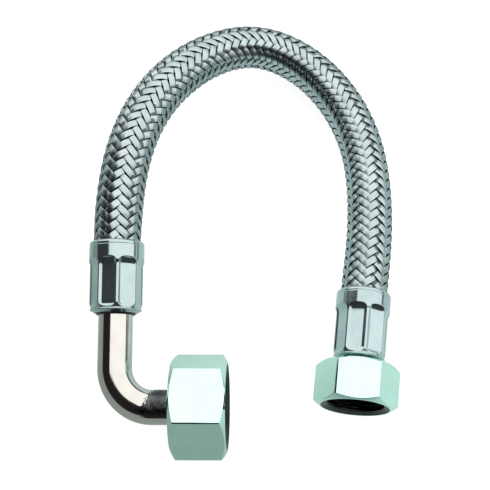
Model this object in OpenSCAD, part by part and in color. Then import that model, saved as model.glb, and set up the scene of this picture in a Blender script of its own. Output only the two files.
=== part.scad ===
// Braided supply line: a stainless steel braided water hose with an elbow union nut at one
// end and a straight swivel nut at the other, lying on its side on a flat surface.
// The origin is where the elbow nut's thread starts, on the nut's axis. +X points out of
// that nut's mouth, +Y runs over the surface from the nuts to the arch, and +Z is up.

/* [Elbow nut] */
// Width across the flats of the elbow nut
elbow_nut_flats = 30; // [29:0.5:32]
// Length of the elbow nut
elbow_nut_len = 18; // [17:0.5:20]
// Radius of the elbow nut's thread at its crests (G 3/4)
elbow_thread_r = 12.06; // [11.9:0.02:12.2]

/* [Straight nut] */
// Width across the flats of the straight nut
straight_nut_flats = 24; // [23.5:0.5:27]
// Length of the straight nut
straight_nut_len = 14; // [13.5:0.5:16]
// Radius of the straight nut's thread at its crests (G 1/2)
straight_thread_r = 9.32; // [9.2:0.02:9.4]
// Where the straight nut's thread starts
straight_origin = [42, 1.5, -3];
// Angle of the straight fitting away from the elbow's leg, in degrees
straight_turn = 5.5; // [5:0.5:6]

/* [Elbow tube] */
// Outside diameter of the bent tube
tube_d = 11.2; // [11:0.1:11.6]
// Wall of the bent tube
tube_wall = 1.2; // [1:0.1:1.6]
// Radius of the bend, to the tube's centreline
bend_r = 12.3; // [12:0.1:13]
// Distance from the origin to where the leg's axis crosses the nut's axis
leg_offset = 35.3; // [34.8:0.1:37]
// How far the leg rises from the surface, in degrees
leg_pitch = 11; // [8:1:12]
// Distance along the leg from the nut's axis to the elbow ferrule
elbow_ferrule_z = 29.3; // [29:0.1:30]

/* [Ferrules] */
// Length of a ferrule
ferrule_len = 24; // [23.5:0.5:24.5]
// Diameter of the round collar that the crimp leaves
collar_d = 18; // [17.6:0.2:18.6]
// Distance across the eight pressed flats
crimp_flats = 16.3; // [16.1:0.1:16.5]
// Direction of the ridge between two flats, from straight up towards +X, in degrees
crimp_turn = 10; // [0:1:45]

/* [Hose] */
// Outside diameter of the braid where it is free
hose_d = 15.8; // [15:0.2:16]
// Diameter of the water way in the liner
bore_d = 10; // [9.8:0.1:10.2]
// Thickness of the woven braid
braid_wall = 0.6; // [0.6:0.1:1.2]

/* [Hidden] */
$fn = 96;

// Colours of the metals and the rubber
plated = [0.86, 0.93, 0.91];
nickel = [0.85, 0.84, 0.80];
steel = [0.72, 0.76, 0.75];
brass = [0.80, 0.66, 0.35];
rubber = [0.08, 0.08, 0.09];

// Each fitting is drawn along its own axis: z = 0 is the start of the nut's thread and
// z grows inwards, from the mouth to the hose.
lead_len = [1.2, 1.0];
thread_len = [7.5, 5.7];
shoulder_z = [14.3, 10.6];
nut_play = [2.1, 1.1];
collar_len = [2.2, 1.8];
gasket_len = [2.0, 1.5];
gasket_gap = 0.05;
relief_step = 0.65;
hole_gap = 0.5;

tube_r = tube_d / 2;
bore_r = bore_d / 2;
seam_half = 0.2;
seam_step = 0.05;
stem_r = 4.8;
stem_bore_r = 3.6;
stem_len = 21;
barbs = 5;

// A nut's back wall starts at shoulder_z. Its collar sits nut_play in front of that wall.
function collar_back(i) = shoulder_z[i] - nut_play[i];
function collar_front(i) = collar_back(i) - collar_len[i];

// Ferrule: the closed end is z = 0, and the pressed flats end short of the round collar.
ferrule_floor = 2;
crimp_start = 2.8;
collar_run = 8;
lip_r = crimp_flats / 2 + 0.45;
cavity_r = crimp_flats / 2 - 1;
mouth_r = hose_d / 2 + 0.15;
squeeze_end = 15;
nut_clearance = 0.5;
straight_ferrule_z = straight_nut_len - lead_len[1] + nut_clearance;

// Hose: it starts ferrule_floor inside each ferrule and its middle is a smooth curve
// through the space between, which comes down to the surface past the top of the arch.
sides = 12;
ring_step = 1 / 2;
stub = 13;
free_route = [
    [-34.5, 71.5, 13.5], [-31.5, 88, 14.5], [-25, 104, 12.5], [-15, 117.5, 8.5],
    [-3, 127.5, 3], [9.5, 132, -2], [21.5, 129.5, -6], [32.5, 121, -7],
    [41.5, 108, -7], [47, 92, -6], [48.5, 75, -4.5], [48, 58, -3.5]
];
leg_way = [0, cos(leg_pitch), sin(leg_pitch)];
elbow_stub = [
    for (k = [-1:2])
        [-leg_offset, 0, 0] + (elbow_ferrule_z + ferrule_floor + k * stub) * leg_way
];
straight_way = [sin(straight_turn), cos(straight_turn), 0];
straight_stub = [
    for (k = [2:-1:-1]) straight_origin
        + (straight_ferrule_z + ferrule_floor + k * stub) * straight_way
];
route = concat(elbow_stub, free_route, straight_stub);

// Point at t, from 0 to 1, on span i of the cubic B-spline that the points control
function spline_at(points, i, t) =
    ((1 - t) ^ 3 * points[i - 1]
    + (3 * t ^ 3 - 6 * t ^ 2 + 4) * points[i]
    + (-3 * t ^ 3 + 3 * t ^ 2 + 3 * t + 1) * points[i + 1]
    + t ^ 3 * points[i + 2]) / 6;
last_span = len(route) - 3;
centreline = [
    for (i = [1:last_span], t = [0:ring_step:1 - ring_step]) spline_at(route, i, t),
    spline_at(route, last_span, 1)
];
rings = len(centreline);

function unit(v) = v / norm(v);
function tangent(k) =
    unit(centreline[min(k + 1, rings - 1)] - centreline[max(k - 1, 0)]);
function across(k) = unit(cross(tangent(k), [0, 0, 1]));
function upward(k) = cross(across(k), tangent(k));

// Both ends are squeezed by a ferrule as far as squeeze_end, and free one ring later.
function run_in(k) =
    min(norm(centreline[k] - centreline[0]), norm(centreline[k] - centreline[rings - 1]));
function braid_r(k) =
    run_in(k) < squeeze_end - ferrule_floor + 0.5 ? cavity_r : hose_d / 2;
function braid_outside() = [for (k = [0:rings - 1]) braid_r(k)];
function braid_inside() = [for (k = [0:rings - 1]) braid_r(k) - braid_wall];
function liner_inside() = [for (k = [0:rings - 1]) bore_r];

function ring(k, r) = [
    for (s = [0:sides - 1])
        centreline[k] + r * (cos((s + 0.5) * 360 / sides) * across(k)
        + sin((s + 0.5) * 360 / sides) * upward(k))
];

// A tube along the centreline, between two lists of radii
module swept_tube(outer, inner) {
    points = [
        for (k = [0:rings - 1]) each ring(k, outer[k]),
        for (k = [0:rings - 1]) each ring(k, inner[k])
    ];
    inside = rings * sides;
    far = (rings - 1) * sides;
    faces = [
        for (k = [0:rings - 2], s = [0:sides - 1])
            let (a = k * sides + s, b = k * sides + (s + 1) % sides)
            each [[a, b, b + sides], [a, b + sides, a + sides]],
        for (k = [0:rings - 2], s = [0:sides - 1])
            let (a = inside + k * sides + s, b = inside + k * sides + (s + 1) % sides)
            each [[a, b + sides, b], [a, a + sides, b + sides]],
        for (s = [0:sides - 1])
            let (b = (s + 1) % sides)
            each [[s, inside + b, b], [s, inside + s, inside + b]],
        for (s = [0:sides - 1])
            let (a = far + s, b = far + (s + 1) % sides)
            each [[a, b, inside + b], [a, inside + b, inside + a]]
    ];
    polyhedron(points, faces);
}

// The three axes that the pieces are drawn along
module along_elbow_nut() {
    rotate([0, -90, 0]) children();
}

module along_leg() {
    rotate([leg_pitch, 0, 0]) translate([-leg_offset, 0, 0]) rotate([-90, 0, 0]) children();
}

module along_straight() {
    translate(straight_origin) rotate([0, 0, -straight_turn]) rotate([-90, 0, 0]) children();
}

// A disc or ring of radius r from z0 to z1
module drum(r, z0, z1) {
    translate([0, 0, z0]) cylinder(r = r, h = z1 - z0);
}

// Hexagon nut with chamfered corners, a threaded mouth, a relief for the gasket and the
// collar, and a back wall with a hole for the tube
module union_nut(i, flats, length, thread_r, hex_turn) {
    corner_r = flats / 2 / cos(30);
    rim_r = flats / 2 - 0.7;
    slope = (corner_r + 0.2 - rim_r) * tan(30);
    front = -lead_len[i];
    back = front + length;
    difference() {
        intersection() {
            rotate(hex_turn) translate([0, 0, front]) cylinder(r = corner_r, h = length, $fn = 6);
            rotate_extrude() polygon([
                [0, front], [rim_r, front], [corner_r + 0.2, front + slope],
                [corner_r + 0.2, back - slope], [rim_r, back], [0, back]
            ]);
        }
        rotate_extrude() polygon([
            [0, front - 1], [thread_r + lead_len[i] + 1, front - 1], [thread_r, 0],
            [thread_r, thread_len[i]], [thread_r + relief_step, thread_len[i] + relief_step / 2],
            [thread_r + relief_step, shoulder_z[i]], [0, shoulder_z[i]]
        ]);
        drum(tube_r + hole_gap, shoulder_z[i] - 1, back + 1);
    }
}

// Flat sealing ring that lies against the collar, captive behind the thread
module gasket(i, outer_r, inner_r) {
    back = collar_front(i) - gasket_gap;
    difference() {
        drum(outer_r, back - gasket_len[i], back);
        drum(inner_r, back - gasket_len[i] - 1, back + 1);
    }
}

// Barbed stem that the hose is pushed on to, from z = 0 to stem_len
module barbed_stem() {
    pitch = stem_len / barbs;
    rotate_extrude() polygon(concat(
        [[0, 0]],
        [for (k = [0:barbs - 1]) each [[stem_r, k * pitch], [stem_r - 0.5, (k + 1) * pitch]]],
        [[0, stem_len]]
    ));
}

// Crimped ferrule: chamfered closed end, eight pressed flats, round collar, rolled rim
module ferrule() {
    cone = ferrule_len - collar_run;
    flat_len = cone - 0.4 - crimp_start;
    difference() {
        rotate_extrude() polygon([
            [tube_r, 0], [tube_r + 0.8, 0], [lip_r - 0.1, 1.7], [lip_r, 2.2],
            [lip_r, cone], [collar_d / 2, cone + 1.4],
            [collar_d / 2, ferrule_len - 0.9], [collar_d / 2 - 0.3, ferrule_len - 0.3],
            [mouth_r + 0.1, ferrule_len], [mouth_r, ferrule_len - 0.2],
            [mouth_r, squeeze_end + 4.5], [cavity_r, squeeze_end],
            [cavity_r, ferrule_floor], [tube_r, ferrule_floor]
        ]);
        for (k = [0:7]) {
            rotate(crimp_turn + (k + 0.5) * 45)
                translate([crimp_flats / 2, -4, crimp_start]) cube([2, 8, flat_len]);
        }
    }
}

// The tube's run from the collar round the bend to the ferrule, as one solid rod
module bent_rod(r, start, end) {
    along_elbow_nut() drum(r, start, leg_offset - bend_r - seam_half / 2);
    along_elbow_nut() seam(r, leg_offset - bend_r);
    rotate([leg_pitch, 0, 0]) translate([bend_r - leg_offset, bend_r, 0])
        rotate_extrude(start = 180, angle = 90) translate([bend_r, 0]) circle(r = r);
    along_leg() seam(r, bend_r);
    along_leg() drum(r, bend_r + seam_half / 2, end);
}

// The tube swells very slightly where the bend starts and ends
module seam(r, z) {
    drum(r + seam_step, z - seam_half, z + seam_half);
}

module elbow_nut() {
    color(plated) along_elbow_nut()
        union_nut(0, elbow_nut_flats, elbow_nut_len, elbow_thread_r, 30);
}

module elbow_gasket() {
    color(rubber) along_elbow_nut() gasket(0, elbow_thread_r + 0.35, 7.5);
}

module elbow_collar() {
    color(nickel) along_elbow_nut() difference() {
        drum(elbow_thread_r - 0.56, collar_front(0), collar_back(0));
        drum(tube_r, collar_front(0) - 1, collar_back(0) + 1);
    }
}

module elbow_tube() {
    tube_end = elbow_ferrule_z + ferrule_floor;
    color(nickel) difference() {
        union() {
            bent_rod(tube_r, collar_front(0), tube_end);
            along_leg() translate([0, 0, tube_end]) barbed_stem();
        }
        bent_rod(tube_r - tube_wall, collar_front(0) - 1, tube_end - 3);
        along_leg() drum(stem_bore_r, tube_end - 4, tube_end + stem_len + 1);
    }
}

module elbow_ferrule() {
    color(steel) along_leg() translate([0, 0, elbow_ferrule_z]) ferrule();
}

module hose_braid() {
    color(steel) swept_tube(braid_outside(), braid_inside());
}

module hose_liner() {
    color(rubber) swept_tube(braid_inside(), liner_inside());
}

module straight_ferrule() {
    color(steel) along_straight() translate([0, 0, straight_ferrule_z]) ferrule();
}

module straight_insert() {
    stem_z = straight_ferrule_z + ferrule_floor;
    color(brass) along_straight() difference() {
        union() {
            drum(straight_thread_r - 0.32, collar_front(1), collar_back(1));
            drum(tube_r, collar_front(1), stem_z);
            translate([0, 0, stem_z]) barbed_stem();
        }
        drum(stem_bore_r, collar_front(1) - 1, stem_z + stem_len + 1);
    }
}

module straight_gasket() {
    color(rubber) along_straight() gasket(1, straight_thread_r + 0.35, 5.5);
}

module straight_nut() {
    color(plated) along_straight()
        union_nut(1, straight_nut_flats, straight_nut_len, straight_thread_r, 0);
}

elbow_nut();
elbow_gasket();
elbow_collar();
elbow_tube();
elbow_ferrule();
hose_braid();
hose_liner();
straight_ferrule();
straight_insert();
straight_gasket();
straight_nut();
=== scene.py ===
"""Braided supply line: a braided hose between an elbow union nut and a straight swivel nut.

Sizes are in millimetres, in the frame of the CAD model. build() turns them into metres.
"""

import math

import bpy
import numpy as np
from mathutils import Matrix, Vector


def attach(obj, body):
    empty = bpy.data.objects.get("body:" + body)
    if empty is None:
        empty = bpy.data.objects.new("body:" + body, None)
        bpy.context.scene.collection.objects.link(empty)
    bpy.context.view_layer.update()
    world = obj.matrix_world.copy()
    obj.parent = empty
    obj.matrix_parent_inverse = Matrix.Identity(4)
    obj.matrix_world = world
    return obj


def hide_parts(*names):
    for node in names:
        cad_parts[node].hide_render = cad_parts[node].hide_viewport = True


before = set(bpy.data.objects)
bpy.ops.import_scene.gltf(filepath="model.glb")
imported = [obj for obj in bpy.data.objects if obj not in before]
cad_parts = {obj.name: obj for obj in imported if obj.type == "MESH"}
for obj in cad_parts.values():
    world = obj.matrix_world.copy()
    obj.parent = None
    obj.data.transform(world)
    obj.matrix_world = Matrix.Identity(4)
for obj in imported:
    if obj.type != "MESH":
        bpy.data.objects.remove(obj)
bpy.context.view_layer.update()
MM = 0.001

# Camera
CAMERA_AT = (23.8, -88.7, 386.7)
CAMERA_YAW, CAMERA_TILT, CAMERA_ROLL = 7.01, 20.53, -6.76
LENS, SENSOR = 90.7, 36.0
CLIP_START, CLIP_END = 0.01, 20.0

# How finely shapes are drawn
FILLET_STEPS = 4
LATHE_SIDES = 96
ROUTE_STEPS = 2401
LINER_RINGS, LINER_SIDES = 240, 48
HEX_ARC_STEPS, HEX_FLAT_STEPS = 6, 10
THREAD_ROW = 0.15
TUBE_SIDES = 96
RUN_RINGS, BEND_RINGS, LEG_RINGS = 100, 60, 30
FERRULE_RINGS = (25, 16, 14, 24, 6, 22)

# Edges over these angles, in degrees, stay sharp
TURNED_SHARP, NUT_SHARP, TUBE_SHARP = 32, 38, 40
FERRULE_SHARP, LINER_SHARP, WIRE_SHARP = 50, 50, 170

# Nuts, collars and gaskets. The elbow's value is first and the straight one's second, where
# there are two. Places along a fitting are measured inwards from where its thread starts.
FLATS = (30.0, 24.0)
NUT_LEN = (18.0, 14.0)
THREAD_R = (12.06, 9.32)
THREAD_LEN = (7.5, 5.7)
THREAD_PITCH = 1.814
THREAD_DEPTH = 1.05
THREAD_CREST = 1.25
THREAD_FADE_IN, THREAD_FADE_OUT = 0.6, 0.5
LEAD = (1.2, 1.0)
SHOULDER = (14.3, 10.6)
RELIEF = 0.65
HOLE_GAP = 0.5
NUT_PLAY = (2.1, 1.1)
COLLAR_LEN = (2.2, 1.8)
GASKET_LEN = (2.0, 1.5)
GASKET_GAP = 0.05
GASKET_BORE = (7.5, 5.5)
HEX_TURN = (30.0, 0.0)
MOUTH_FLARE = (1.75, 1.85)
HEX_CORNER_R = (0.7, 1.2)
CHAMFER_IN = (0.6, 0.7)
CHAMFER_SLOPE = math.tan(math.radians(30))
EDGE_ROUND = 0.25
COLLAR_IN = (0.56, 0.32)
GASKET_OUT = 0.35
GASKET_GROOVE, GASKET_GROOVE_FLOOR, GASKET_GROOVE_DEPTH = 0.5, 0.3, 0.15

# Elbow tube, with the wrinkles that bending leaves on the run beside the nut
TUBE_R = 5.6
TUBE_WALL = 1.2
TUBE_BORE_END = 3.0
WRINKLE_PITCH, WRINKLE_HEIGHT = 0.8, 0.15
WRINKLE_RISE = 0.82
WRINKLE_WANDER = 0.3
WRINKLED_FROM, WRINKLED_TO = (-14, 4), (100, 125)
WRINKLE_SHORT, WRINKLE_LEAN, WRINKLE_TURN, WRINKLE_FADE = 3.0, 5, 110, 3.5
RUN_DROP = 0.3
BEND_R = 12.3
LEG_OFFSET = 35.3
LEG_PITCH = math.radians(11)
STRAIGHT_AT = (42.0, 1.5, -3.0)
STRAIGHT_TURN = math.radians(5.5)

# Ferrules, their pressed pockets and the stems inside them
FERRULE_AT = (29.3, 13.5)
FERRULE_LEN = 24.0
FERRULE_FLOOR = 2.0
COLLAR_R = 9.0
LIP_R = 8.6
CRIMP_START = 2.8
COLLAR_RUN = 8.0
CONE_AT = FERRULE_LEN - COLLAR_RUN
FERRULE_SIDES = 8
FERRULE_SOFTNESS = 0.03
# How far the painted shade at a ferrule's closed end reaches
PAINTED_SHADE_RIM = 0.55
CRIMP_TURN = 10.0
POCKET_R, POCKET_HALF, POCKET_ROUND, POCKET_SLOPE = 7.7, 2.1, 0.6, 0.48
POCKET_IN, POCKET_SHORT = 0.3, 0.4
RUN_OUT_SLOPE, RUN_OUT_CURVE = 0.1, 0.13
POCKET_ANGLES = (0, 3.5, 7, 10, 12, 13.2, 14.2, 15, 15.8, 16.6, 17.4, 18.2, 19, 20, 21.2)
SQUEEZE_END = 15.0
STEM_R, STEM_BORE_R, STEM_LEN, BARBS, BARB_DEPTH = 4.8, 3.6, 21.0, 5, 0.5

# Hose: half widths of the braid from one ferrule's mouth to the other's, oval in the arch
HOSE_R = 7.9
CRIMPED_R = 7.15
BORE_R = 5.0
LINER_IN = 1.3
HOSE_HIGH = 7.85
HOSE_WIDE = (7.8, 8.0, 7.85, 7.3, 7.45, 7.75, 7.8)
OVAL_AT = (90, 122, 150)
MOUTH_RUN = 9
STUB = 13.0

# The hose's route between its two straight ends
FREE_ROUTE = [
    (-34.5, 71.5, 13.5), (-31.5, 88, 14.5), (-25, 104, 12.5), (-15, 117.5, 8.5),
    (-3, 127.5, 3), (9.5, 132, -2), (21.5, 129.5, -6), (32.5, 121, -7),
    (41.5, 108, -7), (47, 92, -6), (48.5, 75, -4.5), (48, 58, -3.5),
]

# Braid: strands of wires, laid over two and under two
STRANDS = 12
LAY = 40.0
WIRES = 7
WIRE_PITCH = 0.315
WIRE_RISE = 0.04
WIRE_SHOULDER = 0.27
CROWN = 0.09
STRAND_EDGE, STRAND_UNDER = 0.1, 0.08
STRAND_END = 4.0
WEAVE_RISE = 0.5
STRAND_RINGS = 344
DIP_BELOW = 0.02

FLOOR_Z = -15.0
FLOOR_HALF = 4000

# Light: soft boxes overhead, each by the directions where its X and Y edges fade in, and how
# bright the floor is to the camera and as a painted glow in the metal's reflections
BOX_EDGES = (
    ((-0.46, -0.38), (-0.20, -0.14)),
    ((-0.09, -0.02), (-0.42, -0.32)),
    ((-0.92, -0.78), (0.36, 0.50)),
)
OVERHEAD = (0.08, 0.20)
LOW_WALL, LEFT_WALL = (0.14, 0.24), (-0.40, -0.20)
BOX_LIGHT, WALL_LIGHT, ROOM_LIGHT = 1.42, 0.36, 0.02
FLOOR_SLOPE, FLOOR_LEVEL = (3.5, 5.0, 0), 0.60
FLOOR_LEAST, FLOOR_MOST = 0.40, 0.85
PAPER_GREY, PAPER_GLOW = 0.35, 0.90


# ---------------------------------------------------------------- camera
def make_camera():
    """The camera at the photograph's viewing angle"""
    data = bpy.data.cameras.new("camera")
    data.lens = LENS
    data.sensor_width = SENSOR
    data.clip_start, data.clip_end = CLIP_START, CLIP_END
    camera = bpy.data.objects.new("camera", data)
    bpy.context.scene.collection.objects.link(camera)
    turns = ((CAMERA_YAW, "Z"), (CAMERA_TILT, "X"), (CAMERA_ROLL, "Z"))
    matrix = Matrix.Translation(Vector(CAMERA_AT) * MM)
    for angle, axis in turns:
        matrix = matrix @ Matrix.Rotation(math.radians(angle), 4, axis)
    camera.matrix_world = matrix
    bpy.context.scene.camera = camera


make_camera()


# ---------------------------------------------------------------- mesh helpers
def grid_faces(rows, columns, wrap_rows=True):
    """Quads between the points of a grid. Its columns close on themselves, and its rows can."""
    r = np.arange(rows if wrap_rows else rows - 1)
    r, c = np.meshgrid(r, np.arange(columns), indexing="ij")
    r2, c2 = (r + 1) % rows, (c + 1) % columns
    corners = [r * columns + c, r2 * columns + c, r2 * columns + c2, r * columns + c2]
    return np.stack(corners, axis=-1).reshape(-1, 4)


def outward(points, quads):
    """The quads, turned over if they make the volume negative"""
    a, b, c, d = (points[quads[:, k]] for k in range(4))
    volume = np.einsum("ij,ij->", a, np.cross(b, c)) + np.einsum("ij,ij->", a, np.cross(c, d))
    return quads if volume > 0 else quads[:, ::-1]


def build(name, points, quads, material, sharp):
    """One piece from points in millimetres. Edges over sharp degrees stay sharp."""
    points = np.asarray(points, dtype=float).reshape(-1, 3)
    quads = outward(points, np.asarray(quads))
    mesh = bpy.data.meshes.new(name)
    mesh.vertices.add(len(points))
    mesh.vertices.foreach_set("co", (points * MM).ravel())
    mesh.loops.add(quads.size)
    mesh.loops.foreach_set("vertex_index", quads.ravel())
    mesh.polygons.add(len(quads))
    mesh.polygons.foreach_set("loop_start", np.arange(len(quads)) * 4)
    mesh.update(calc_edges=True)
    mesh.validate()
    mesh.shade_smooth()
    mesh.set_sharp_from_angle(angle=math.radians(sharp))
    mesh.materials.append(material)
    piece = bpy.data.objects.new(name, mesh)
    bpy.context.scene.collection.objects.link(piece)
    return piece


def show(piece, body, slot, *nodes):
    """The piece rides on a body and stands for CAD nodes; slot is not used"""
    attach(piece, body)
    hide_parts(*nodes)
    return piece


def filleted(corners):
    """A closed outline of (r, z, radius) corners, each rounded by about that radius"""
    points = []
    count = len(corners)
    for k, (r, z, radius) in enumerate(corners):
        here = np.array([r, z], dtype=float)
        if radius == 0:
            points.append(here)
            continue
        before = np.array(corners[k - 1][:2], dtype=float) - here
        after = np.array(corners[(k + 1) % count][:2], dtype=float) - here
        before_len, after_len = np.linalg.norm(before), np.linalg.norm(after)
        before, after = before / before_len, after / after_len
        half = math.acos(np.clip(np.dot(before, after), -1, 1)) / 2
        reach = min(radius / math.tan(half), 0.45 * before_len, 0.45 * after_len)
        start, end = here + before * reach, here + after * reach
        for step in range(FILLET_STEPS + 1):
            t = step / FILLET_STEPS
            points.append((1 - t) ** 2 * start + 2 * t * (1 - t) * here + t**2 * end)
    return points


def turned(columns, placed):
    """Points of a ring-shaped piece from its (angle, [(r, z), ...]) columns"""
    points = np.array([
        [(r * math.cos(angle), r * math.sin(angle), z) for r, z in column]
        for angle, column in columns
    ])
    return placed(points)


def lathe(name, corners, placed, material):
    """A ring-shaped piece turned from one closed outline"""
    outline = filleted(corners)
    columns = [(2 * math.pi * k / LATHE_SIDES, outline) for k in range(LATHE_SIDES)]
    quads = grid_faces(LATHE_SIDES, len(outline))
    return build(name, turned(columns, placed), quads, material, TURNED_SHARP)


# ---------------------------------------------------------------- axes of the fittings
def elbow_axis(points):
    """z runs inwards along the elbow nut's axis, from where its thread starts"""
    return np.stack([-points[..., 2], points[..., 1], points[..., 0]], axis=-1)


def leg_axis(points):
    """z runs along the elbow's leg, which rises from the surface"""
    x, y, z = points[..., 0] - LEG_OFFSET, points[..., 2], -points[..., 1]
    cos, sin = math.cos(LEG_PITCH), math.sin(LEG_PITCH)
    return np.stack([x, y * cos - z * sin, y * sin + z * cos], axis=-1)


def straight_axis(points):
    """z runs inwards along the straight fitting's axis, from where its thread starts"""
    x, y, z = points[..., 0], points[..., 2], -points[..., 1]
    cos, sin = math.cos(STRAIGHT_TURN), math.sin(STRAIGHT_TURN)
    return np.stack([x * cos + y * sin, y * cos - x * sin, z], axis=-1) + np.array(STRAIGHT_AT)


NUT_AXIS = (elbow_axis, straight_axis)
FERRULE_AXIS = (leg_axis, straight_axis)


# ---------------------------------------------------------------- the hose's centreline
def spline(points, t):
    """Points of the cubic B-spline at t, which counts the spans from the second point"""
    points = np.array(points, dtype=float)
    t = np.clip(np.asarray(t, dtype=float), 0, len(points) - 3 - 1e-9)
    span = t.astype(int) + 1
    u = (t - (span - 1))[:, None]
    weights = (
        (1 - u) ** 3,
        3 * u**3 - 6 * u**2 + 4,
        -3 * u**3 + 3 * u**2 + 3 * u + 1,
        u**3,
    )
    return sum(w * points[span + k - 1] for k, w in enumerate(weights)) / 6


def route_points():
    """The spline's control points: straight out of both ferrules, and the free route between"""
    leg_way = np.array([0, math.cos(LEG_PITCH), math.sin(LEG_PITCH)])
    straight_way = np.array([math.sin(STRAIGHT_TURN), math.cos(STRAIGHT_TURN), 0])
    leg_start = np.array([-LEG_OFFSET, 0, 0]) + (FERRULE_AT[0] + FERRULE_FLOOR) * leg_way
    straight_start = np.array(STRAIGHT_AT) + (FERRULE_AT[1] + FERRULE_FLOOR) * straight_way
    first = [leg_start + k * STUB * leg_way for k in (-1, 0, 1, 2)]
    last = [straight_start + k * STUB * straight_way for k in (2, 1, 0, -1)]
    return first + [np.array(p) for p in FREE_ROUTE] + last


class Centreline:
    """The hose's middle line, with its length measured along it"""

    def __init__(self):
        route = route_points()
        fine = np.linspace(0, len(route) - 3, ROUTE_STEPS)
        self.points = spline(route, fine)
        steps = np.linalg.norm(np.diff(self.points, axis=0), axis=1)
        self.along = np.concatenate([[0], np.cumsum(steps)])
        self.length = self.along[-1]
        tangents = np.gradient(self.points, self.along, axis=0)
        self.tangents = tangents / np.linalg.norm(tangents, axis=1)[:, None]

    def read(self, values, s):
        """The line's points or tangents at lengths along it"""
        return np.stack([np.interp(s, self.along, values[:, k]) for k in range(3)], axis=-1)

    def at(self, s, angle, radius):
        """Points on a tube round the line, at a length, an angle from sideways and a radius"""
        tangent = self.read(self.tangents, s)
        tangent /= np.linalg.norm(tangent, axis=-1)[..., None]
        across = np.cross(tangent, [0.0, 0.0, 1.0])
        across /= np.linalg.norm(across, axis=-1)[..., None]
        upward = np.cross(across, tangent)
        wide = (radius * np.cos(angle))[..., None] * across
        high = (radius * np.sin(angle))[..., None] * upward
        return self.read(self.points, s) + wide + high


hose = Centreline()


def smooth_step(x, low, high):
    """0 up to low, 1 from high on, and a smooth rise between"""
    t = np.clip((x - low) / (high - low), 0, 1)
    return t * t * (3 - 2 * t)


def hose_outside(s, angle):
    """The braid's outside radius: squeezed in the ferrules, oval where the hose bends"""
    mouth = FERRULE_LEN - FERRULE_FLOOR
    end = hose.length - mouth
    stations = [mouth, mouth + MOUTH_RUN, *OVAL_AT, end - MOUTH_RUN, end]
    wide = np.interp(s, stations, HOSE_WIDE)
    inside = np.minimum(s, hose.length - s)
    squeezed = smooth_step(inside, SQUEEZE_END - FERRULE_FLOOR, SQUEEZE_END + 3)
    free = np.sqrt((wide * np.cos(angle)) ** 2 + (HOSE_HIGH * np.sin(angle)) ** 2)
    return CRIMPED_R + (free - CRIMPED_R) * squeezed


# ---------------------------------------------------------------- materials
def new_material(name):
    """A material with its nodes, its links and its main shader"""
    material = bpy.data.materials.new(name)
    material.use_nodes = True
    nodes = material.node_tree.nodes
    shader = nodes["Principled BSDF"]
    return material, nodes, material.node_tree.links, shader


def noise(nodes, links, scale, detail, roughness=0.5):
    """A noise pattern in the piece's own coordinates, in metres"""
    coord = nodes.new("ShaderNodeTexCoord")
    texture = nodes.new("ShaderNodeTexNoise")
    texture.inputs["Scale"].default_value = scale
    texture.inputs["Detail"].default_value = detail
    texture.inputs["Roughness"].default_value = roughness
    links.new(coord.outputs["Object"], texture.inputs["Vector"])
    return texture.outputs["Fac"]


def ramp(nodes, links, value, stops):
    """A colour ramp on a value, from (position, colour) stops"""
    node = nodes.new("ShaderNodeValToRGB")
    elements = node.color_ramp.elements
    while len(elements) < len(stops):
        elements.new(0.5)
    for element, (position, colour) in zip(elements, stops):
        element.position = position
        element.color = (*colour, 1)
    links.new(value, node.inputs["Fac"])
    return node.outputs["Color"]


def spread(nodes, links, value, low, high):
    """The middle part of a noise's values, taken to a range"""
    node = nodes.new("ShaderNodeMapRange")
    node.inputs["From Min"].default_value = 0.3
    node.inputs["From Max"].default_value = 0.7
    node.inputs["To Min"].default_value = low
    node.inputs["To Max"].default_value = high
    links.new(value, node.inputs["Value"])
    return node.outputs["Result"]


def bump(nodes, links, shader, height, strength, distance):
    """Small dents and marks in the surface, by a height"""
    node = nodes.new("ShaderNodeBump")
    node.inputs["Strength"].default_value = strength
    node.inputs["Distance"].default_value = distance
    links.new(height, node.inputs["Height"])
    links.new(node.outputs["Normal"], shader.inputs["Normal"])


METAL_DENT, RUBBER_DENT = 0.00002, 0.00005
CLOUD_SCALE, MARKS_SCALE, WIRE_MARKS_SCALE = 160, 900, 2500


def metal(name, dark, light, polish, grain, scale=MARKS_SCALE, metallic=1.0, edge=(1, 1, 1)):
    """Plated or bare metal: a slightly uneven colour and polish, fine marks and an edge tint"""
    material, nodes, links, shader = new_material(name)
    shader.inputs["Metallic"].default_value = metallic
    shader.inputs["Specular Tint"].default_value = (*edge, 1)
    cloud = noise(nodes, links, CLOUD_SCALE, 3)
    marks = noise(nodes, links, scale, 5, 0.6)
    colour = ramp(nodes, links, cloud, [(0.35, dark), (0.65, light)])
    links.new(colour, shader.inputs["Base Color"])
    links.new(spread(nodes, links, marks, *polish), shader.inputs["Roughness"])
    bump(nodes, links, shader, marks, grain, METAL_DENT)
    return material


def rubber(name, dark, light, scale):
    """Dull rubber with fine specks"""
    material, nodes, links, shader = new_material(name)
    specks = noise(nodes, links, scale, 5)
    colour = ramp(nodes, links, specks, [(0.35, dark), (0.7, light)])
    links.new(colour, shader.inputs["Base Color"])
    links.new(spread(nodes, links, specks, 0.55, 0.8), shader.inputs["Roughness"])
    bump(nodes, links, shader, specks, 0.35, RUBBER_DENT)
    return material


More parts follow.
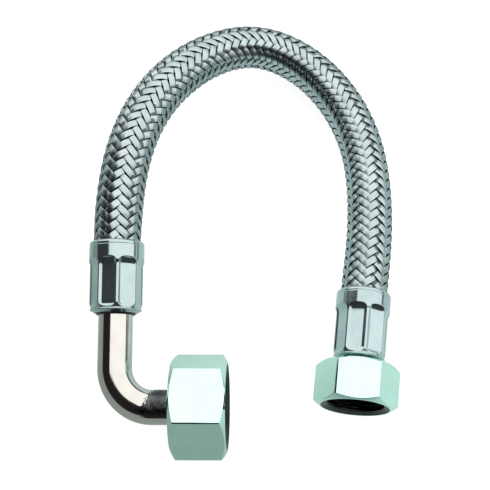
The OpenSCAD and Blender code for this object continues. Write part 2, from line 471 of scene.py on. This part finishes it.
plated = metal("plated_chrome", (0.62, 0.88, 0.79), (0.66, 0.92, 0.83), (0.04, 0.08), 0.05)
# Near-black metal as painted shade in the nuts' bores, inside the ferrules and at their closed
# ends' edges
painted_shade_metal = metal(
    "bore_and_rim_painted_shade", (0.018, 0.022, 0.024), (0.05, 0.06, 0.064), (0.28, 0.42), 0.25)
nickel = metal("nickel_plate", (0.63, 0.61, 0.56), (0.68, 0.66, 0.61), (0.07, 0.13), 0.10)
# Dark plate as painted shade in the troughs of the tube's wrinkles
wrinkle_painted_shade = metal(
    "tube_painted_shade", (0.05, 0.053, 0.056), (0.13, 0.135, 0.14), (0.22, 0.36), 0.30)
steel = metal(
    "ferrule_steel", (0.43, 0.53, 0.54), (0.48, 0.58, 0.58), (0.08, 0.15), 0.10, metallic=0.92)
wire = metal(
    "braid_wire", (0.42, 0.49, 0.50), (0.51, 0.59, 0.59), (0.19, 0.30), 0.1,
    scale=WIRE_MARKS_SCALE, edge=(0.30, 0.28, 0.32))
# Dark steel as painted shade where a strand dips under its neighbours
wire_painted_shade = metal(
    "braid_wire_painted_shade", (0.11, 0.14, 0.145), (0.18, 0.22, 0.22), (0.28, 0.4), 0.1,
    scale=WIRE_MARKS_SCALE)
brass = metal("turned_brass", (0.72, 0.54, 0.24), (0.80, 0.62, 0.30), (0.16, 0.26), 0.2)
liner_rubber = rubber("liner_rubber", (0.008, 0.008, 0.009), (0.02, 0.02, 0.022), 1500)
seal_rubber = rubber("seal_rubber", (0.012, 0.013, 0.014), (0.035, 0.036, 0.038), 1100)


# ---------------------------------------------------------------- hose
def make_liner():
    """The rubber hose under the braid, from one ferrule's floor to the other's"""
    s = np.linspace(0, hose.length, LINER_RINGS)
    angle = np.arange(LINER_SIDES) * 2 * math.pi / LINER_SIDES
    angle, s = np.meshgrid(angle, s, indexing="ij")
    outer = hose.at(s, angle, hose_outside(s, angle) - LINER_IN)
    inner = hose.at(s, angle, np.full(s.shape, BORE_R))
    points = np.concatenate([outer, inner[:, ::-1]], axis=1)
    quads = grid_faces(LINER_SIDES, 2 * LINER_RINGS)
    return build("liner", points, quads, liner_rubber, LINER_SHARP)


def strand_section():
    """(across, height) points round a strand: its wires' backs, then its flat underside"""
    half = WIRES / 2 * WIRE_PITCH
    top = []
    for k in range(WIRES):
        left = k * WIRE_PITCH - half
        rise, fall = WIRE_SHOULDER * WIRE_PITCH, (1 - WIRE_SHOULDER) * WIRE_PITCH
        top += [(left, 0), (left + rise, 1), (left + fall, 1)]
    top.append((half, 0))
    section = [(x, WIRE_RISE * up - CROWN * (x / half) ** 2) for x, up in top]
    under, edge = -CROWN - STRAND_UNDER, half - STRAND_EDGE
    section += [(edge, under), (-edge, under)]
    return np.array(section)


def weave(position):
    """Height of a strand, from -1 under to 1 over, at its crossing number"""
    return np.cos(math.pi / 2 * (position - 0.5))


def make_strands(name, hand):
    """All the strands that wind one way: hand is 1 or -1"""
    section = strand_section()
    s = np.linspace(STRAND_END, hose.length - STRAND_END, STRAND_RINGS)
    slant = math.atan2(2 * math.pi * HOSE_R, LAY)
    across_s = -hand * math.sin(slant)
    across_angle = math.cos(slant) / HOSE_R
    all_points, all_quads, painted_shade_in_dips = [], [], []
    for strand in range(STRANDS):
        middle = 2 * math.pi * (strand / STRANDS + hand * s / LAY)
        s_here = s[:, None] + across_s * section[None, :, 0]
        angle = middle[:, None] + across_angle * section[None, :, 0]
        crossed = STRANDS * (angle / (2 * math.pi) + hand * s_here / LAY)
        over = hand * weave(strand + crossed)
        height = over * WEAVE_RISE + section[None, :, 1]
        radius = hose_outside(s_here, angle) - WEAVE_RISE - WIRE_RISE + height
        points = hose.at(np.clip(s_here, 0, hose.length), angle, radius)
        count = points.shape[0] * points.shape[1]
        all_quads.append(grid_faces(*points.shape[:2], wrap_rows=False) + strand * count)
        all_points.append(points.reshape(-1, 3))
        painted_shade_in_dips.append(over[:-1].ravel() < DIP_BELOW)
    points, quads = np.concatenate(all_points), np.concatenate(all_quads)
    piece = build(name, points, quads, wire, WIRE_SHARP)
    # Painted shade: faces where a strand dips under its neighbours take the dark steel
    piece.data.materials.append(wire_painted_shade)
    painted_shade_index = np.concatenate(painted_shade_in_dips).astype(np.int32)
    piece.data.polygons.foreach_set("material_index", painted_shade_index)
    return piece


right_hand = show(make_strands("braid_right_hand", 1), "line", "braid_steel", "hose_braid")
left_hand = show(make_strands("braid_left_hand", -1), "line", "braid_steel", "hose_braid")
liner = show(make_liner(), "line", "liner_rubber", "hose_liner")


# ---------------------------------------------------------------- nuts
def hexagon(flats, corner_radius):
    """(angle, radius) points round a hexagon with rounded corners"""
    points = []
    inner = flats / 2 - corner_radius
    half_flat = inner * math.tan(math.radians(30))
    for k in range(6):
        turn = math.radians(60 * k)
        cos, sin = math.cos(turn), math.sin(turn)
        local = [(flats / 2, half_flat * t) for t in np.linspace(-1, 1, HEX_FLAT_STEPS + 1)]
        for step in range(1, HEX_ARC_STEPS):
            swing = math.radians(60) * step / HEX_ARC_STEPS
            local.append((
                inner + corner_radius * math.cos(swing),
                half_flat + corner_radius * math.sin(swing),
            ))
        for x, y in local:
            px, py = x * cos - y * sin, x * sin + y * cos
            points.append((math.atan2(py, px), math.hypot(px, py)))
    return points


def thread_depth(i, z, angle):
    """How far the thread is cut at a height and an angle, fading out at both ends"""
    turn = (z / THREAD_PITCH - angle / (2 * math.pi)) % 1
    tooth = 0.5 - 0.5 * math.cos(2 * math.pi * turn)
    tooth = min(1.0, THREAD_CREST * tooth)
    fade_in = min(1, max(0, z / THREAD_FADE_IN))
    fade_out = min(1, max(0, (THREAD_LEN[i] - z) / THREAD_FADE_OUT))
    return THREAD_DEPTH * tooth * fade_in * fade_out


def nut_column(i, angle, outer_r):
    """Outline of the nut at one angle, as (r, z, rounding) corners"""
    front = -LEAD[i]
    back = front + NUT_LEN[i]
    front_rim, back_rim = (FLATS[i] / 2 - inwards for inwards in CHAMFER_IN)
    corners = [
        (back_rim, back, EDGE_ROUND),
        (outer_r, back - (outer_r - back_rim) * CHAMFER_SLOPE, EDGE_ROUND),
        (outer_r, front + (outer_r - front_rim) * CHAMFER_SLOPE, EDGE_ROUND),
        (front_rim, front, EDGE_ROUND),
        (THREAD_R[i] + MOUTH_FLARE[i], front, 0.3),
    ]
    rows = int(THREAD_LEN[i] / THREAD_ROW)
    for k in range(rows + 1):
        z = THREAD_LEN[i] * k / rows
        corners.append((THREAD_R[i] + thread_depth(i, z, angle), z, 0))
    relief_r = THREAD_R[i] + RELIEF
    hole_r = TUBE_R + HOLE_GAP
    corners += [
        (relief_r, THREAD_LEN[i] + RELIEF / 2, 0),
        (relief_r, SHOULDER[i], 0),
        (hole_r, SHOULDER[i], 0.2),
        (hole_r, back, 0.4),
    ]
    return corners


# The mouth's edge is the fifth corner of a nut's outline, and the bore follows it
MOUTH_CORNER = 4


def make_nut(i, name, body, node):
    """A hex nut, plated outside, with painted shade in its bore"""
    turn = math.radians(HEX_TURN[i] + 30)
    columns = [
        (angle + turn, filleted(nut_column(i, angle + turn, outer_r)))
        for angle, outer_r in hexagon(FLATS[i], HEX_CORNER_R[i])
    ]
    points = turned(columns, NUT_AXIS[i])
    quads = grid_faces(*points.shape[:2])
    piece = build(name, points, quads, plated, NUT_SHARP)
    # Painted shade: the bore's faces take the near-black metal
    piece.data.materials.append(painted_shade_metal)
    column = np.arange(len(quads)) % points.shape[1]
    bore_from = MOUTH_CORNER * (FILLET_STEPS + 1) + 2
    painted_shade_in_bore = (column >= bore_from) & (column < points.shape[1] - FILLET_STEPS - 1)
    piece.data.polygons.foreach_set("material_index", painted_shade_in_bore.astype(np.int32))
    show(piece, body, "plated_nut", node)


make_nut(0, "elbow_nut_shown", "elbow_union", "elbow_nut")
make_nut(1, "straight_nut_shown", "straight_union", "straight_nut")


# ---------------------------------------------------------------- gaskets and collar
def collar_back(i):
    """Where the collar that holds a nut on ends, along the fitting"""
    return SHOULDER[i] - NUT_PLAY[i]


def collar_front(i):
    """Where the collar starts, which its gasket seals against"""
    return collar_back(i) - COLLAR_LEN[i]


def make_gasket(i, name, body, node):
    """A flat rubber seal with a shallow groove in its face"""
    back = collar_front(i) - GASKET_GAP
    front = back - GASKET_LEN[i]
    outer_r, inner_r = THREAD_R[i] + GASKET_OUT, GASKET_BORE[i]
    groove = (outer_r + inner_r) / 2
    corners = [
        (inner_r, front, 0.3),
        (groove - GASKET_GROOVE, front, 0.1),
        (groove - GASKET_GROOVE_FLOOR, front + GASKET_GROOVE_DEPTH, 0.1),
        (groove + GASKET_GROOVE_FLOOR, front + GASKET_GROOVE_DEPTH, 0.1),
        (groove + GASKET_GROOVE, front, 0.1),
        (outer_r, front, 0.3),
        (outer_r, back, 0.3),
        (inner_r, back, 0.3),
    ]
    piece = lathe(name, corners, NUT_AXIS[i], seal_rubber)
    show(piece, body, "seal_rubber", node)


make_gasket(0, "elbow_gasket_shown", "elbow_seal", "elbow_gasket")
make_gasket(1, "straight_gasket_shown", "straight_seal", "straight_gasket")


def make_collar():
    """The ring brazed on the tube's end"""
    outer_r = THREAD_R[0] - COLLAR_IN[0]
    front, back = collar_front(0), collar_back(0)
    corners = [
        (TUBE_R, front, 0),
        (outer_r, front, 0.25),
        (outer_r, back, 0.3),
        (TUBE_R + 0.5, back, 0.3),
        (TUBE_R, back - 0.01, 0),
    ]
    piece = lathe("elbow_collar_shown", corners, elbow_axis, nickel)
    show(piece, "line", "nickel_tube", "elbow_collar")


make_collar()


def stem_corners(stem_z):
    """The barbed stem's outline from stem_z inwards, as (r, z, rounding) corners"""
    pitch = STEM_LEN / BARBS
    corners = []
    for k in range(BARBS):
        corners.append((STEM_R, stem_z + k * pitch, 0.08))
        corners.append((STEM_R - BARB_DEPTH, stem_z + (k + 1) * pitch, 0.08))
    return corners


def make_insert():
    """The straight fitting's brass insert, from its collar to its barbed stem"""
    stem_z = FERRULE_AT[1] + FERRULE_FLOOR
    outer_r = THREAD_R[1] - COLLAR_IN[1]
    front, back = collar_front(1), collar_back(1)
    end = stem_z + STEM_LEN
    corners = [
        (STEM_BORE_R, front, 0.4),
        (outer_r, front, 0.2),
        (outer_r, back, 0.3),
        (TUBE_R, back, 0.3),
        (TUBE_R, stem_z, 0.2),
        *stem_corners(stem_z + 0.01),
        (STEM_BORE_R, end, 0.2),
    ]
    piece = lathe("straight_insert_shown", corners, straight_axis, brass)
    show(piece, "line", "insert_brass", "straight_insert")


make_insert()


# ---------------------------------------------------------------- ferrules
def ferrule_base(z):
    """The ferrule's outside radius before the flats are pressed in"""
    closed_end = [(0, 6.1), (0.5, 6.7), (1.35, 8.4), (1.55, 8.5), (1.8, 8.4), (2.0, 8.08),
                  (3.1, 8.46), (3.5, 8.57), (4.0, LIP_R)]
    cone = [(0, LIP_R), (0.5, 8.7), (1.2, 8.95), (1.6, COLLAR_R)]
    rim = [(1.75, 0), (1.55, 0.1), (1.35, 0), (0.9, 0.03), (0.6, 0.12), (0.3, 0.35),
           (0.1, 0.6), (0, 0.85)]
    outline = closed_end + [(CONE_AT + along, r) for along, r in cone]
    outline += [(FERRULE_LEN - short, COLLAR_R - inwards) for short, inwards in rim]
    stations, radii = zip(*outline)
    return np.interp(z, stations, radii)


def pressed(z, away):
    """A flat's outside radius: a level floor with rounded corners and a steep wall round it"""
    top = CONE_AT - POCKET_SHORT
    sideways = np.abs(POCKET_R * np.tan(away))
    past_side = np.clip(sideways - POCKET_HALF + POCKET_ROUND, 0, None)
    past_end = np.clip(CRIMP_START + POCKET_IN + POCKET_ROUND - z, 0, None)
    past = np.hypot(past_side, past_end) - POCKET_ROUND
    wall = POCKET_SLOPE * np.clip(past, 0, None)
    over = np.clip(z - top, 0, None)
    run_out = RUN_OUT_SLOPE * over + RUN_OUT_CURVE * over**2
    return (POCKET_R + wall + run_out) / np.cos(away)


def ferrule_outside(z, away):
    """The outside radius at an angle away from a flat's middle, with soft edges"""
    flat = pressed(z, away)
    base = ferrule_base(z)
    least = np.minimum(flat, base)
    soft = sum(np.exp(-(r - least) / FERRULE_SOFTNESS) for r in (flat, base))
    return least - FERRULE_SOFTNESS * np.log(soft)


def make_ferrule(i, name, node):
    """A crimped ferrule with its pressed flats, with painted shade inside and at its closed
    end's edge
    """
    end = FERRULE_LEN
    breaks = (0, CRIMP_START, 4.6, CONE_AT - 0.4, CONE_AT + 2.6, end - 1.9, end)
    spans = zip(breaks, breaks[1:], FERRULE_RINGS)
    z = np.unique(np.concatenate([np.linspace(*span) for span in spans]))
    inside = [
        (8.05, end + 0.02), (7.95, end - 0.3), (8.05, SQUEEZE_END + 4.5),
        (CRIMPED_R, SQUEEZE_END), (CRIMPED_R, FERRULE_FLOOR), (TUBE_R, FERRULE_FLOOR),
        (TUBE_R, 0.0),
    ]
    pitch = 360 / FERRULE_SIDES
    sector = [*(-a for a in reversed(POCKET_ANGLES[1:])), *POCKET_ANGLES, pitch / 2]
    columns = []
    for k in range(FERRULE_SIDES):
        for step in sector:
            angle = math.radians(CRIMP_TURN + pitch / 2 + pitch * k + step - 90)
            outside = ferrule_outside(z, np.full(len(z), math.radians(step)))
            columns.append((angle, list(zip(outside, z)) + inside))
    at = np.array([0, 0, FERRULE_AT[i]])
    points = turned(columns, lambda p: FERRULE_AXIS[i](p + at))
    piece = build(name, points, grid_faces(*points.shape[:2]), steel, FERRULE_SHARP)
    # Painted shade: the inside and a band at the closed end's edge take the near-black metal
    piece.data.materials.append(painted_shade_metal)
    painted_shade_faces = np.concatenate([z < PAINTED_SHADE_RIM, np.ones(len(inside), dtype=bool)])
    painted_shade_index = np.tile(painted_shade_faces.astype(np.int32), points.shape[0])
    piece.data.polygons.foreach_set("material_index", painted_shade_index)
    show(piece, "line", "ferrule_steel", node)


make_ferrule(0, "elbow_ferrule_shown", "elbow_ferrule")
make_ferrule(1, "straight_ferrule_shown", "straight_ferrule")


# ---------------------------------------------------------------- elbow tube
def tube_frames():
    """The tube's middle line: (point, direction of the bend's inside, length) at each ring"""
    start, run = collar_front(0), LEG_OFFSET - BEND_R
    frames = [((-z, 0.0), (0.0, 1.0), z) for z in np.linspace(start, run, RUN_RINGS)]
    for swing in np.linspace(0, math.pi / 2, BEND_RINGS)[1:]:
        out = (-math.sin(swing), -math.cos(swing))
        point = (BEND_R * out[0] - run, BEND_R + BEND_R * out[1])
        frames.append((point, (-out[0], -out[1]), run + BEND_R * swing))
    quarter = run + BEND_R * math.pi / 2
    for z in np.linspace(BEND_R, FERRULE_AT[0] + FERRULE_FLOOR, LEG_RINGS)[1:]:
        frames.append(((-LEG_OFFSET, z), (1.0, 0.0), quarter + z - BEND_R))
    return frames, run, quarter


def tube_ring(point, inside_way, radius):
    """A ring round a point of the tube's line, turned about the nut's axis by the leg's pitch"""
    angle = np.arange(TUBE_SIDES) * 2 * math.pi / TUBE_SIDES
    flat = radius * np.cos(angle)
    x, y = point[0] + flat * inside_way[0], point[1] + flat * inside_way[1]
    z = radius * np.sin(angle)
    cos, sin = math.cos(LEG_PITCH), math.sin(LEG_PITCH)
    return np.stack([x, y * cos - z * sin, y * sin + z * cos], axis=-1)


def wrinkled_zone(along, run):
    """How far each side of the tube has wrinkles at this length, from 0 to 1"""
    around = np.arange(TUBE_SIDES) * 360 / TUBE_SIDES
    around = np.where(around > 270, around - 360, around)
    where = smooth_step(around, *WRINKLED_FROM) * (1 - smooth_step(around, *WRINKLED_TO))
    lean = WRINKLE_LEAN * np.clip(around, 0, WRINKLE_TURN) / WRINKLE_TURN
    limit = run - WRINKLE_SHORT + lean
    return where * (1 - smooth_step(along, limit, limit + WRINKLE_FADE))


def wrinkle_tooth(along):
    """The wrinkles' sawtooth, from 0 to 1, which wanders a little round the tube"""
    angle = np.arange(TUBE_SIDES) * 2 * math.pi / TUBE_SIDES
    phase = (along / WRINKLE_PITCH + WRINKLE_WANDER * np.sin(5 * angle + 1.3 * along)) % 1
    back = (phase - WRINKLE_RISE) / (1 - WRINKLE_RISE)
    return np.where(phase < WRINKLE_RISE, 1 - phase / WRINKLE_RISE, back)


def wrinkles(along, run):
    """Height of the wrinkles that bending leaves on top, from the nut to the bend"""
    return WRINKLE_HEIGHT * wrinkle_tooth(along) * wrinkled_zone(along, run)


def make_tube():
    """The bent tube with its bore and barbed stem, with painted shade in its wrinkles' troughs
    """
    frames, run, quarter = tube_frames()
    tube, bore, zone = [], [], []
    for point, inside_way, along in frames:
        lower = RUN_DROP * (1 - smooth_step(along, run, quarter))
        point = (point[0], point[1] - lower)
        tube.append(tube_ring(point, inside_way, TUBE_R + wrinkles(along, run)))
        bore.append((along, tube_ring(point, inside_way, TUBE_R - TUBE_WALL)))
        # Painted shade: the wrinkles' troughs take the dark plate
        zone.append(wrinkled_zone(along, run) > 0.15 + 0.7 * wrinkle_tooth(along))
    end = FERRULE_AT[0] + FERRULE_FLOOR
    stem = [(r, z) for r, z, _ in stem_corners(end + 0.01)]
    stem += [(STEM_BORE_R, end + STEM_LEN), (STEM_BORE_R, end - TUBE_BORE_END)]
    for r, z in stem:
        tube.append(tube_ring((-LEG_OFFSET, z), (1.0, 0.0), r))
    last = frames[-1][2]
    tube += [ring for along, ring in reversed(bore) if along < last - TUBE_BORE_END - 0.05]
    points = np.array(tube)
    quads = grid_faces(*points.shape[:2])
    piece = build("elbow_tube_shown", points, quads, nickel, TUBE_SHARP)
    piece.data.materials.append(wrinkle_painted_shade)
    painted_shade_index = np.zeros(points.shape[:2], dtype=np.int32)
    painted_shade_index[:len(zone)] = zone
    piece.data.polygons.foreach_set("material_index", painted_shade_index.ravel())
    show(piece, "line", "nickel_tube", "elbow_tube")


make_tube()


# ---------------------------------------------------------------- floor and light
def make_floor():
    """The pale floor that the object lies on"""
    points = [(x * FLOOR_HALF, y * FLOOR_HALF, FLOOR_Z)
              for x, y in ((-1, -1), (1, -1), (1, 1), (-1, 1))]
    mesh = bpy.data.meshes.new("floor")
    mesh.from_pydata([Vector(p) * MM for p in points], [], [(0, 1, 2, 3)])
    floor = bpy.data.objects.new("floor", mesh)
    bpy.context.scene.collection.objects.link(floor)
    mesh.materials.append(floor_material())


def floor_material():
    """White paper to the camera, and in the metal's reflections a painted glow that fades across
    the floor
    """
    material, nodes, links, shader = new_material("floor")
    nodes.remove(shader)
    output = nodes["Material Output"]
    light_path = nodes.new("ShaderNodeLightPath")
    coord = nodes.new("ShaderNodeTexCoord")
    slope = nodes.new("ShaderNodeVectorMath")
    slope.operation = "DOT_PRODUCT"
    slope.inputs[1].default_value = FLOOR_SLOPE
    links.new(coord.outputs["Object"], slope.inputs[0])
    level = nodes.new("ShaderNodeMath")
    level.operation = "ADD"
    level.inputs[1].default_value = FLOOR_LEVEL
    links.new(slope.outputs["Value"], level.inputs[0])
    clamp = nodes.new("ShaderNodeClamp")
    clamp.inputs["Min"].default_value = FLOOR_LEAST
    clamp.inputs["Max"].default_value = FLOOR_MOST
    links.new(level.outputs[0], clamp.inputs["Value"])
    # Painted light: to the metal the floor glows, tinted and brighter towards the back and right
    painted_glow_in_reflections = nodes.new("ShaderNodeEmission")
    painted_glow_in_reflections.inputs["Color"].default_value = (0.84, 1.0, 0.97, 1)
    links.new(clamp.outputs["Result"], painted_glow_in_reflections.inputs["Strength"])
    paper = nodes.new("ShaderNodeBsdfDiffuse")
    paper.inputs["Color"].default_value = (PAPER_GREY, PAPER_GREY, PAPER_GREY, 1)
    glow = nodes.new("ShaderNodeEmission")
    glow.inputs["Strength"].default_value = PAPER_GLOW
    both = nodes.new("ShaderNodeAddShader")
    links.new(paper.outputs[0], both.inputs[0])
    links.new(glow.outputs[0], both.inputs[1])
    pick = nodes.new("ShaderNodeMixShader")
    links.new(light_path.outputs["Is Camera Ray"], pick.inputs["Fac"])
    links.new(painted_glow_in_reflections.outputs[0], pick.inputs[1])
    links.new(both.outputs[0], pick.inputs[2])
    links.new(pick.outputs[0], output.inputs["Surface"])
    return material


def make_world():
    """Three soft boxes overhead, a dim wall low on the left and plain white behind the object"""
    world = bpy.data.worlds.new("studio")
    bpy.context.scene.world = world
    world.use_nodes = True
    nodes, links = world.node_tree.nodes, world.node_tree.links
    nodes.clear()
    coord = nodes.new("ShaderNodeTexCoord")
    split = nodes.new("ShaderNodeSeparateXYZ")
    links.new(coord.outputs["Generated"], split.inputs[0])

    def edge(axis, low, high):
        """0 up to one value of a direction's axis and 1 from another on"""
        node = nodes.new("ShaderNodeMapRange")
        node.interpolation_type = "SMOOTHSTEP"
        node.inputs["From Min"].default_value = low
        node.inputs["From Max"].default_value = high
        links.new(split.outputs[axis], node.inputs["Value"])
        return node.outputs["Result"]

    def combine(operation, a, b):
        """The result of a math node on two values or sockets"""
        node = nodes.new("ShaderNodeMath")
        node.operation = operation
        for socket, value in zip(node.inputs, (a, b)):
            if isinstance(value, (int, float)):
                socket.default_value = value
            else:
                links.new(value, socket)
        return node.outputs[0]

    boxes = 0
    for x_edge, y_edge in BOX_EDGES:
        box = combine("MULTIPLY", edge("X", *x_edge), edge("Y", *y_edge))
        boxes = combine("MAXIMUM", boxes, box)
    boxes = combine("MULTIPLY", boxes, edge("Z", *OVERHEAD))
    low = combine("SUBTRACT", 1, edge("Z", *LOW_WALL))
    left = combine("SUBTRACT", 1, edge("X", *LEFT_WALL))
    wall = combine("MULTIPLY_ADD", combine("MULTIPLY", low, left), WALL_LIGHT)
    wall.node.inputs[2].default_value = ROOM_LIGHT
    strength = combine("MULTIPLY_ADD", boxes, BOX_LIGHT)
    links.new(wall, strength.node.inputs[2])
    studio = nodes.new("ShaderNodeBackground")
    studio.inputs["Color"].default_value = (1, 1, 1, 1)
    links.new(strength, studio.inputs["Strength"])
    white = nodes.new("ShaderNodeBackground")
    white.inputs["Color"].default_value = (1, 1, 1, 1)
    pick = nodes.new("ShaderNodeMixShader")
    light_path = nodes.new("ShaderNodeLightPath")
    output = nodes.new("ShaderNodeOutputWorld")
    links.new(light_path.outputs["Is Camera Ray"], pick.inputs["Fac"])
    links.new(studio.outputs[0], pick.inputs[1])
    links.new(white.outputs[0], pick.inputs[2])
    links.new(pick.outputs[0], output.inputs["Surface"])


make_floor()
make_world()
bpy.context.scene.view_settings.view_transform = "Standard"
